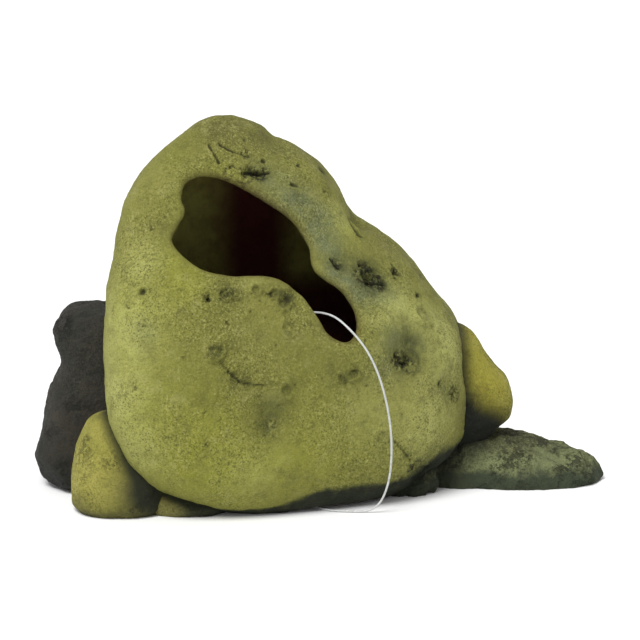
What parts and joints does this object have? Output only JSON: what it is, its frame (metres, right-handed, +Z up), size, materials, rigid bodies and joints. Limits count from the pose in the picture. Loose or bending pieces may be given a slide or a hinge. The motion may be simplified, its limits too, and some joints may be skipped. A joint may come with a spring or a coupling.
{
  "type": "aquarium cave ornament",
  "caption": "Hollow cast boulder with a bean-shaped mouth, bonded foot stones, an open base and a thin nylon loop through the mouth.",
  "frame": {"origin": "under the middle of the stones' box, on the surface that the ornament stands on", "axes": "+X along the ornament from the dark rock to the slab's tip, +Y back from the mouth, +Z up"},
  "size_m": [0.2741, 0.1224, 0.1775],
  "materials": {
    "boulder_resin": "matte",
    "dark_rock_resin": "matte",
    "ochre_stone_resin": "matte",
    "slate_resin": "matte",
    "clear_nylon": "satin"
  },
  "bodies": {
    "root": {"boulder_shell": "boulder_resin", "rear_left_rock": "dark_rock_resin", "front_left_stone": "ochre_stone_resin", "front_toe_stone": "ochre_stone_resin", "toe_rubble": "slate_resin", "right_slab": "slate_resin", "right_stone": "ochre_stone_resin", "nylon_loop": "clear_nylon", "loop_lock": "clear_nylon"}
  },
  "joints": []
}
